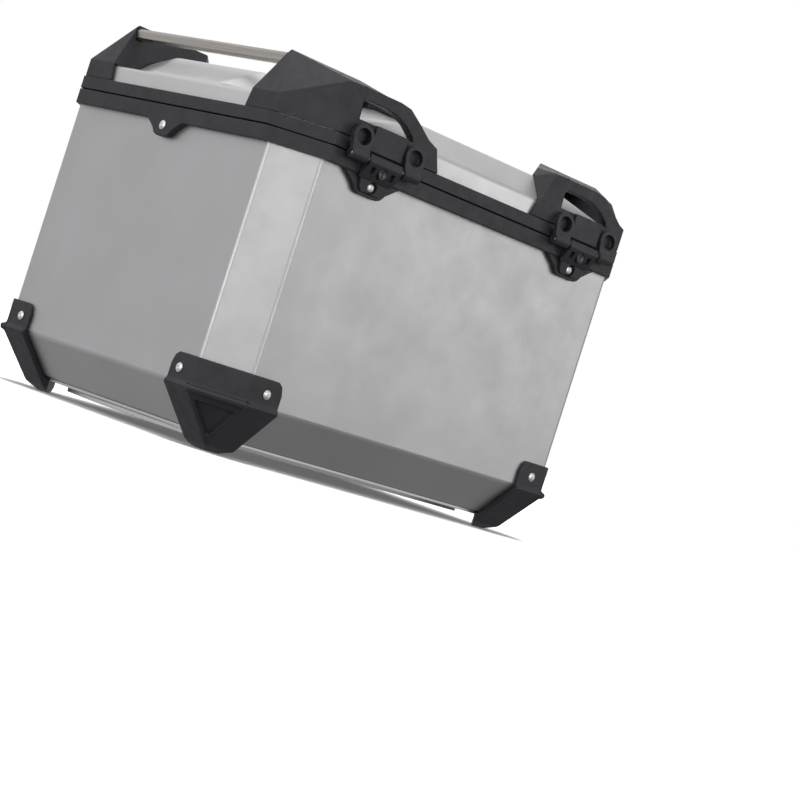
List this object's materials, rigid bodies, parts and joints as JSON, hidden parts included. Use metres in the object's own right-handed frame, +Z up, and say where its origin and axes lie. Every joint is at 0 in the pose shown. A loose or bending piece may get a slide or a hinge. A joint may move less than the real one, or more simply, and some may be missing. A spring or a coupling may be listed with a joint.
{
  "type": "motorcycle top case",
  "caption": "Chamfered aluminium top case with black corner guards, hinged lid with grab bars and lashing eyelets, hasp latches and locks.",
  "frame": {"origin": "on the ground under the middle of the case, at the level of its four corner feet", "axes": "+X towards the front of the motorcycle along the case, +Y to its left, +Z up"},
  "size_m": [0.4538, 0.3714, 0.3393],
  "materials": {
    "aluminium_sheet": "satin clear anodised sheet",
    "aluminium_plate": "plain milled plate",
    "anodised_bar": "bronze grey anodised, satin",
    "black_plastic": "fine grained glass filled nylon",
    "rivet_aluminium": "bright domed heads",
    "steel_pin": "zinc plated",
    "lock_plug": "black chrome",
    "rubber_seal": "soft foam rubber"
  },
  "bodies": {
    "case": {"body_shell": "aluminium_sheet", "body_frame": "black_plastic", "rim_seal": "rubber_seal", "floor_plate": "aluminium_plate", "adapter_plate": "aluminium_plate", "frame_rivet_rear": "rivet_aluminium", "frame_rivet_front": "rivet_aluminium", "adapter_bolt_rear_right": "steel_pin", "corner_guard_rear_right": "black_plastic", "guard_rivet_end_rear_right": "rivet_aluminium", "guard_rivet_side_rear_right": "rivet_aluminium", "latch_rivet_rear_right": "rivet_aluminium", "latch_bracket_rear_right": "black_plastic", "adapter_bolt_rear_left": "steel_pin", "corner_guard_rear_left": "black_plastic", "guard_rivet_end_rear_left": "rivet_aluminium", "guard_rivet_side_rear_left": "rivet_aluminium", "latch_rivet_rear_left": "rivet_aluminium", "latch_bracket_rear_left": "black_plastic", "adapter_bolt_front_right": "steel_pin", "corner_guard_front_right": "black_plastic", "guard_rivet_end_front_right": "rivet_aluminium", "guard_rivet_side_front_right": "rivet_aluminium", "latch_rivet_front_right": "rivet_aluminium", "latch_bracket_front_right": "black_plastic", "adapter_bolt_front_left": "steel_pin", "corner_guard_front_left": "black_plastic", "guard_rivet_end_front_left": "rivet_aluminium", "guard_rivet_side_front_left": "rivet_aluminium", "latch_rivet_front_left": "rivet_aluminium", "latch_bracket_front_left": "black_plastic"},
    "lid": {"lid_shell": "aluminium_sheet", "lid_frame": "black_plastic", "grab_bar_rear": "anodised_bar", "grab_bar_front": "anodised_bar", "lid_corner_rear_right": "black_plastic", "lid_corner_rear_left": "black_plastic", "lid_corner_front_right": "black_plastic", "lid_corner_front_left": "black_plastic"},
    "hasp_rear_right": {"hasp_shaft_rear_right": "steel_pin", "hasp_arm_a_rear_right": "black_plastic", "hasp_arm_b_rear_right": "black_plastic"},
    "hasp_rear_left": {"hasp_shaft_rear_left": "steel_pin", "hasp_arm_a_rear_left": "black_plastic", "hasp_arm_b_rear_left": "black_plastic"},
    "hasp_front_right": {"hasp_shaft_front_right": "steel_pin", "hasp_arm_a_front_right": "black_plastic", "hasp_arm_b_front_right": "black_plastic"},
    "hasp_front_left": {"hasp_shaft_front_left": "steel_pin", "hasp_arm_a_front_left": "black_plastic", "hasp_arm_b_front_left": "black_plastic"},
    "lock_rear_right": {"lock_cylinder_rear_right": "lock_plug"},
    "lock_rear_left": {"lock_cylinder_rear_left": "lock_plug"},
    "lock_front_right": {"lock_cylinder_front_right": "lock_plug"},
    "lock_front_left": {"lock_cylinder_front_left": "lock_plug"}
  },
  "joints": [
    {"name": "lid_hinge", "type": "hinge", "parent": "case", "child": "lid", "pos_m": [0, 0.181, 0.27], "axis": [-1, 0, 0], "range_deg": [0, 100]},
    {"name": "hasp_swing_rear_right", "type": "hinge", "parent": "case", "child": "hasp_rear_right", "pos_m": [-0.1304, -0.181, 0.27], "axis": [1, 0, 0], "range_deg": [0, 120]},
    {"name": "hasp_swing_rear_left", "type": "hinge", "parent": "case", "child": "hasp_rear_left", "pos_m": [-0.1304, 0.181, 0.27], "axis": [-1, 0, 0], "range_deg": [0, 100]},
    {"name": "hasp_swing_front_right", "type": "hinge", "parent": "case", "child": "hasp_front_right", "pos_m": [0.1304, -0.181, 0.27], "axis": [1, 0, 0], "range_deg": [0, 120]},
    {"name": "hasp_swing_front_left", "type": "hinge", "parent": "case", "child": "hasp_front_left", "pos_m": [0.1304, 0.181, 0.27], "axis": [-1, 0, 0], "range_deg": [0, 100]},
    {"name": "lock_turn_rear_right", "type": "hinge", "parent": "case", "child": "lock_rear_right", "pos_m": [-0.1304, -0.1784, 0.262], "axis": [0, -1, 0], "range_deg": [0, 90]},
    {"name": "lock_turn_rear_left", "type": "hinge", "parent": "case", "child": "lock_rear_left", "pos_m": [-0.1304, 0.1784, 0.262], "axis": [0, 1, 0], "range_deg": [0, 90]},
    {"name": "lock_turn_front_right", "type": "hinge", "parent": "case", "child": "lock_front_right", "pos_m": [0.1304, -0.1784, 0.262], "axis": [0, -1, 0], "range_deg": [0, 90]},
    {"name": "lock_turn_front_left", "type": "hinge", "parent": "case", "child": "lock_front_left", "pos_m": [0.1304, 0.1784, 0.262], "axis": [0, 1, 0], "range_deg": [0, 90]}
  ],
  "couplings": [
    {"joint": "hasp_swing_rear_left", "follows": "lid_hinge", "ratio": 1},
    {"joint": "hasp_swing_front_left", "follows": "lid_hinge", "ratio": 1}
  ]
}
